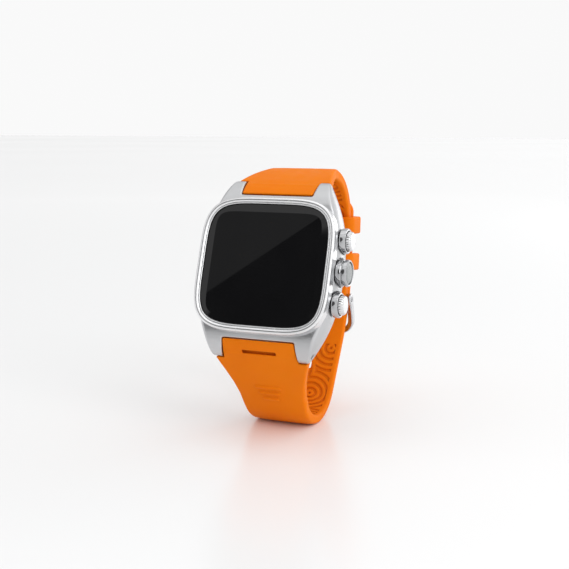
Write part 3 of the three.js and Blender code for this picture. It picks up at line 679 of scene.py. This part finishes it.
def upper_field(x, y, z):
    along, off = locate(UPPER, 1, y, z)
    inside_bend = (along > 13) & (along < 68)
    half = np.interp(along, *TAPER_UPPER)
    relief = 0.36 * contour_relief(along + 4, x) * inside_bend * (np.abs(x) < half - 1.6)
    body = band(along, off, x, half, STRAP_THICKNESS, measure(UPPER)[-1] + 1.2, relief, 0.1)
    body = fit_notch(body, 1, x, y, z)
    end = length(y - HINGE[0], z - HINGE[1])
    body = smooth_min(body, rounded(0.4, end - 1.6, np.abs(x) - STRAP_HALF), 0.3)
    body = cut(body, end - 0.85, 0.1)
    slot = rounded(0.3, np.abs(x) - 1.6, y - HINGE[0] - 2.4, HINGE[0] - 4 - y, np.abs(z - HINGE[1]) - 4)
    return cut(body, slot, 0.3)


HOLE_PITCH = 6.5
HOLE_RADIUS = 1.35
TONGUE_HOLE_Y = HINGE[0] - 3
TONGUE_HOLE = 3


def tail_along(height):
    """Distance along the lower strap where its back stretch is at this height."""
    lengths = measure(LOWER)
    back = lengths > 56
    return float(np.interp(height, LOWER[back, 0], lengths[back]))


HOLES = [(tail_along(TONGUE_HOLE_Y + (i - TONGUE_HOLE) * HOLE_PITCH), 4.4 if i == TONGUE_HOLE else 1.9)
         for i in range(8)]
RIBS = [(17.6, 3.6), (19.9, 2.8), (22.2, 2.0)]


def lower_field(x, y, z):
    along, off = locate(LOWER, -1, y, z)
    ax = np.abs(x)
    half = np.interp(along, *TAPER_LOWER)
    tip = np.clip((along - (LOWER_LENGTH - 4)) / 4, 0, 1)
    half = half - 4 * (1 - np.sqrt(np.maximum(1 - tip * tip, 0)))
    inside_bend = (along > 9) & (along < TAIL_START - 4)
    relief = 0.4 * contour_relief(along, x) * inside_bend * (ax < half - 1.5)
    rib = 0
    for rib_along, rib_half in RIBS:
        bar, _ = segment_distance(along, x, (rib_along, -rib_half), (rib_along, rib_half))
        rib = rib + 0.45 * np.clip(1.7 - bar * 2.4, 0, 1)
    body = band(along, off - rib, x, half, lower_thickness(along) + rib, LOWER_LENGTH, relief, 0.5)
    body = fit_notch(body, -1, x, y, z)
    slit = rounded(0.25, ax - 5.2, np.abs(along - 4.1) - 0.6, -0.88 - off, along - 8)
    body = cut(body, slit, 0.08)
    for hole_along, hole_half in HOLES:
        straight = hole_half - HOLE_RADIUS
        hole = length(np.maximum(np.abs(along - hole_along) - straight, 0), x) - HOLE_RADIUS
        body = cut(body, hole, 0.3)
    ground = (to_frame(np.zeros((1, 3)))[0, 2] / MM) + y * UP.z + z * OUT.z
    return smooth_max(body, 0.02 - ground, 0.3)


def build_straps():
    upper = carve("strap_upper", upper_field, (-15, -3, -52), (15, 37, -2.5), 0.27, ORANGE, False)
    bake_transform(upper)
    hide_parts("upper_strap")
    lower = carve("strap_lower", lower_field, (-15, -43, -54), (15, 33, -2.5), 0.27, ORANGE, False)
    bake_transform(lower)
    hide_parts("lower_strap")


def rounded_rectangle(low, high, radius, count):
    corners = [(high[0] - radius, high[1] - radius, 0), (low[0] + radius, high[1] - radius, 90),
               (low[0] + radius, low[1] + radius, 180), (high[0] - radius, low[1] + radius, 270)]
    points = []
    for x, y, start in corners:
        for angle in np.radians(np.linspace(start, start + 90, 9)):
            points.append((x + radius * math.cos(angle), y + radius * math.sin(angle)))
    return spread(np.array(points), count)


KEEPER_LENGTH = 5.4
KEEPER_WALL = 1.7


def build_keepers():
    for name in ("upper", "lower"):
        low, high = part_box(f"keeper_{name}")
        joint = JOINTS[f"{name}_keeper_slide"]
        down = Vector(joint["axis"]).normalized()
        outward = ACROSS.cross(down)
        if outward.y < 0:
            outward.negate()
        centre = (Vector(low) + Vector(high)) / 2
        half_width = (high[0] - low[0]) / 2 / MM
        tall = ((high[1] - low[1]) - abs(down.y) * KEEPER_LENGTH * MM) / abs(outward.y) / MM
        wall = KEEPER_WALL
        outline = rounded_rectangle((-half_width + wall, -tall / 2 + wall * 0.8),
                                    (half_width - wall, tall / 2 - wall), 0.7, 160)
        h, w = KEEPER_LENGTH / 2, wall
        section = arc((0.25, -h + 0.25), 0.25, 180, 270, 4) + arc((w - 0.6, -h + 0.6), 0.6, 270, 360, 6) \
            + arc((w - 0.6, h - 0.6), 0.6, 0, 90, 6) + arc((0.25, h - 0.25), 0.25, 90, 180, 4)
        keeper = rim(f"strap_keeper_{name}", outline, section, ORANGE, 40)
        flat = np.array([to_watch(v.co) for v in keeper.data.vertices])
        basis = np.array([ACROSS, outward, -down]).T
        placed = (flat * MM) @ basis.T + np.array(centre)
        for vertex, place in zip(keeper.data.vertices, placed):
            vertex.co = place
        keeper.data.update()
        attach(keeper, f"{name}_keeper")
        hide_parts(f"keeper_{name}")


# ---- buckle -----------------------------------------------------------------------------------
OUTER_BAR = HINGE + np.array([-9.1, -5.4])
FRAME_ARM = (OUTER_BAR - HINGE) / np.linalg.norm(OUTER_BAR - HINGE)
FRAME_OUT = np.array([-FRAME_ARM[1], FRAME_ARM[0]])
TONGUE_REST = OUTER_BAR + FRAME_OUT * 2.0
TONGUE_TIP = TONGUE_REST + FRAME_ARM * 1.6 - FRAME_OUT * 0.25


FRAME_LENGTH = float(np.linalg.norm(OUTER_BAR - HINGE))
FRAME_HALF = 11.0
FRAME_CORNER = 3.2


def buckle_field(x, y, z):
    # Lies in its own plane: run down the arms, out of the plane, and x across.
    run = (y - HINGE[0]) * FRAME_ARM[0] + (z - HINGE[1]) * FRAME_ARM[1]
    out = (y - HINGE[0]) * FRAME_OUT[0] + (z - HINGE[1]) * FRAME_OUT[1]
    share = np.clip(run / FRAME_LENGTH, -0.2, 1.2)
    out = out - 0.7 * np.sin(np.pi * np.clip(share, 0, 1))
    ax = np.abs(x)
    inset = np.maximum(run - (FRAME_LENGTH - FRAME_CORNER), 0)
    side = np.maximum(ax - (FRAME_HALF - FRAME_CORNER), 0)
    corner = length(inset, side) - FRAME_CORNER
    loop = np.where((inset > 0) & (side > 0), corner, np.maximum(inset - FRAME_CORNER, side - FRAME_CORNER))
    loop = np.where((inset <= 0) & (side <= 0), np.maximum(inset, side) - FRAME_CORNER, loop)
    width = 0.66 + 0.3 * np.clip(share, 0, 1)
    tall = 1.45 - 0.35 * np.clip(share * 1.4, 0, 1)
    body = rounded(0.4, np.abs(loop) - width, np.abs(out) - tall, -1.5 - run)
    boss = rounded(0.3, length(run, out) - 1.9, np.abs(ax - FRAME_HALF) - 0.66)
    body = smooth_min(body, boss, 0.6)
    return cut(body, length(y - HINGE[0], z - HINGE[1]) - 0.72, 0.15)


def tongue_field(x, y, z):
    middle = (HINGE + TONGUE_REST) / 2 + FRAME_OUT * 0.2
    first, share = segment_distance(y, z, HINGE, middle)
    second, _ = segment_distance(y, z, middle, TONGUE_REST)
    third, _ = segment_distance(y, z, TONGUE_REST, TONGUE_TIP)
    profile = smooth_min(smooth_min(first - 0.75, second - 0.65, 0.5), third - 0.55, 0.4)
    profile = smooth_min(profile, length(y - HINGE[0], z - HINGE[1]) - 1.4, 0.5)
    reach = (y - HINGE[0]) * FRAME_ARM[0] + (z - HINGE[1]) * FRAME_ARM[1]
    half = np.interp(reach, [0, 3, 11, 13.5], [1.1, 0.95, 0.9, 0.7])
    body = rounded(0.3, profile, np.abs(x) - half)
    return cut(body, length(y - HINGE[0], z - HINGE[1]) - 0.72, 0.1)


def build_buckle():
    y_low, z_low = np.minimum(OUTER_BAR, HINGE) - 2.6
    y_high, z_high = np.maximum(OUTER_BAR, HINGE) + 2.4
    frame_piece = carve("buckle_loop", buckle_field, (-11.8, y_low, z_low), (11.8, y_high, z_high), 0.22,
                        BUCKLE_STEEL)
    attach(frame_piece, "buckle")
    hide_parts("buckle_frame")
    tongue = carve("buckle_prong", tongue_field, (-1.3, y_low - 2, z_low - 2), (1.3, y_high, z_high), 0.16,
                   BUCKLE_STEEL)
    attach(tongue, "tongue")
    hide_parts("buckle_tongue")
    pin = turned("buckle_pin", [(-11.75, 0.2), (-11.7, 0.45), (-11.55, 0.62), (11.55, 0.62), (11.7, 0.45),
                                (11.75, 0.2)], HINGE, PIN_STEEL, 32)
    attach(pin, "strap")
    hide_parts("buckle_bar")


# ---- small steel pieces and the inside --------------------------------------------------------
def build_spring_bars():
    for name, side in (("top", 1), ("bottom", -1)):
        profile = [(-14.0, 0.2), (-13.9, 0.45), (-13.7, 0.55), (-11.3, 0.55), (-11.2, 0.75), (11.2, 0.75),
                   (11.3, 0.55), (13.7, 0.55), (13.9, 0.45), (14.0, 0.2)]
        bar = turned(f"lug_bar_{name}", profile, (side * BAR[0], BAR[1]), PIN_STEEL, 32)
        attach(bar, "case")
        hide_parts(f"spring_bar_{name}")


KEPT_NODES = {
    "touch_sensor": BLACK_GLASS, "lcd_module": BLACK_PLASTIC, "main_board": BOARD,
    "processor_shield": PIN_STEEL,
    "gps_antenna": CERAMIC, "battery": FOIL, "speaker": BLACK_PLASTIC, "microphone": PIN_STEEL,
    "vibration_motor": PIN_STEEL, "camera_lens_barrel": BLACK_PLASTIC, "camera_module": BLACK_PLASTIC,
    "button_seal_top": BLACK_RUBBER, "button_seal_bottom": BLACK_RUBBER, "side_switch_top": BLACK_PLASTIC,
    "side_switch_bottom": BLACK_PLASTIC, "back_screw_": PIN_STEEL, "charge_contact_": GOLD,
}


def paint_kept_nodes():
    for name, node in frame["nodes"].items():
        for key, material in KEPT_NODES.items():
            if name == key or (key.endswith("_") and name.startswith(key)):
                for index in range(len(node.material_slots)):
                    node.material_slots[index].material = material


# ---- floor, lights and camera -----------------------------------------------------------------
FLOOR_REACH = 5.0


def build_stage():
    """A pale floor. Far from the watch it glows faintly, so that no dark band shows at its far edge."""
    mesh = bpy.data.meshes.new("floor")
    corners = [(x * FLOOR_REACH, y * FLOOR_REACH, 0) for x, y in ((-1, -1), (1, -1), (1, 1), (-1, 1))]
    mesh.from_pydata(corners, [], [(0, 1, 2, 3)])
    paint = Paint("pale_floor", Specular_IOR_Level=0.5)
    near = paint.colours(paint.noise(1.5, 0), [(0.3, (0.925, 0.928, 0.931)), (0.7, (0.935, 0.938, 0.941))])
    away = paint.node("ShaderNodeVectorMath", {0: paint.place}, operation="LENGTH").outputs["Value"]
    paint.drive("Base Color", near)
    paint.shader.inputs["Emission Color"].default_value = (1, 1, 1, 1)
    paint.drive("Emission Strength", paint.span(away, 0.0, 0.12, 0.12, 0.9))
    paint.drive("Roughness", paint.span(paint.noise(2, 0), 0.24, 0.26))
    mesh.materials.append(paint.material)
    floor = bpy.data.objects.new("floor", mesh)
    bpy.context.collection.objects.link(floor)


def area_light(name, place, target, size, power):
    data = bpy.data.lights.new(name, "AREA")
    data.shape = "RECTANGLE"
    data.size, data.size_y = size
    data.energy = power
    lamp = bpy.data.objects.new(name, data)
    lamp.location = place
    lamp.visible_camera = False
    lamp.rotation_euler = (Vector(target) - Vector(place)).to_track_quat("-Z", "Y").to_euler()
    bpy.context.collection.objects.link(lamp)
    return lamp


def studio_world():
    """White all round, greyer to the left, and dim in front where the display mirrors the room."""
    world = bpy.data.worlds.new("studio")
    world.use_nodes = True
    tree = world.node_tree
    background = tree.nodes["Background"]
    place = tree.nodes.new("ShaderNodeTexCoord")
    dot = tree.nodes.new("ShaderNodeVectorMath")
    dot.operation = "DOT_PRODUCT"
    dot.inputs[1].default_value = Vector((-0.32, -0.88, 0.34)).normalized()
    ramp = tree.nodes.new("ShaderNodeMapRange")
    ramp.interpolation_type = "SMOOTHSTEP"
    for socket, value in (("From Min", 0.915), ("From Max", 0.95), ("To Min", 0.97), ("To Max", 0.11)):
        ramp.inputs[socket].default_value = value
    tree.links.new(place.outputs["Generated"], dot.inputs[0])
    tree.links.new(dot.outputs["Value"], ramp.inputs["Value"])
    left = tree.nodes.new("ShaderNodeVectorMath")
    left.operation = "DOT_PRODUCT"
    left.inputs[1].default_value = Vector((-1.0, 0.1, 0.5)).normalized()
    shade = tree.nodes.new("ShaderNodeMapRange")
    for socket, value in (("From Min", 0.2), ("From Max", 0.95), ("To Min", 1.0), ("To Max", 0.66)):
        shade.inputs[socket].default_value = value
    both = tree.nodes.new("ShaderNodeMath")
    both.operation = "MULTIPLY"
    tree.links.new(place.outputs["Generated"], left.inputs[0])
    tree.links.new(left.outputs["Value"], shade.inputs["Value"])
    tree.links.new(ramp.outputs["Result"], both.inputs[0])
    tree.links.new(shade.outputs["Result"], both.inputs[1])
    seen = tree.nodes.new("ShaderNodeLightPath")
    mix = tree.nodes.new("ShaderNodeMix")
    mix.inputs["B"].default_value = 0.95
    tree.links.new(seen.outputs["Is Camera Ray"], mix.inputs["Factor"])
    tree.links.new(both.outputs["Value"], mix.inputs["A"])
    tree.links.new(mix.outputs["Result"], background.inputs["Strength"])
    background.inputs["Color"].default_value = (1.0, 1.0, 1.0, 1)
    bpy.context.scene.world = world


GLARE_LINE = ((-16.5, -9.3), (16.5, 15.3))      # edge of the glare across the display, in x and y
GLARE_DISTANCE = 0.7
GLARE_SIZE = (1.4, 0.6)


def glare_card():
    """A dim card whose mirror image ends in a slanted line across the display."""
    eye = bpy.context.scene.camera.location
    image = eye - OUT * 2 * (eye - FACE).dot(OUT)
    start, end = (Vector(to_frame([x, y, GLASS_TOP])) for x, y in GLARE_LINE)
    towards = ((start + end) / 2 - image).normalized()
    edge = (end - start - towards * (end - start).dot(towards)).normalized()
    aside = edge.cross(towards)
    if aside.dot(UP) < 0:
        aside.negate()
    place = (start + end) / 2 + towards * GLARE_DISTANCE + aside * GLARE_SIZE[1] / 2
    lamp = area_light("glare_card", place, FACE, GLARE_SIZE, 0.7)
    lamp.matrix_world = Matrix((edge, towards.cross(edge), towards)).transposed().to_4x4()
    lamp.location = place


def build_lights():
    middle = (0, 0, 0.04)
    area_light("key_right", (0.55, -0.25, 0.40), middle, (0.30, 0.60), 1.1)
    area_light("fill_left", (-0.55, -0.15, 0.30), middle, (0.25, 0.6), 0.06)
    area_light("top", (0.0, 0.05, 0.75), middle, (0.7, 0.5), 0.55)
    area_light("rim_right", (0.40, 0.70, 0.14), middle, (0.5, 0.35), 0.7)
    glare_card()
    studio_world()
    bpy.context.scene.view_settings.view_transform = "Standard"


CAMERA_AZIMUTH, CAMERA_ELEVATION = math.radians(22.0), math.radians(9.3)
CAMERA_DISTANCE = 0.28156
CAMERA_LENS = 63.3
FRAME_OFFSET = (0.00616, -0.00572)       # optical axis beside the case centre, right and up


def build_camera_view():
    back = Vector((math.sin(CAMERA_AZIMUTH) * math.cos(CAMERA_ELEVATION),
                   -math.cos(CAMERA_AZIMUTH) * math.cos(CAMERA_ELEVATION), math.sin(CAMERA_ELEVATION)))
    right = Vector((0, 0, 1)).cross(back).normalized()
    above = back.cross(right)
    data = bpy.data.cameras.new("camera")
    data.sensor_width = 36
    data.lens = CAMERA_LENS
    data.clip_start = 0.01
    camera = bpy.data.objects.new("camera", data)
    place = ORIGIN + back * CAMERA_DISTANCE + right * FRAME_OFFSET[0] + above * FRAME_OFFSET[1]
    camera.matrix_world = Matrix((right, above, back)).transposed().to_4x4()
    camera.location = place
    bpy.context.collection.objects.link(camera)
    bpy.context.scene.camera = camera


build_camera_view()
build_case()
build_bezel()
build_glass()
build_controls()
build_camera()
build_back()
build_straps()
build_keepers()
build_buckle()
build_spring_bars()
paint_kept_nodes()
build_stage()
build_lights()
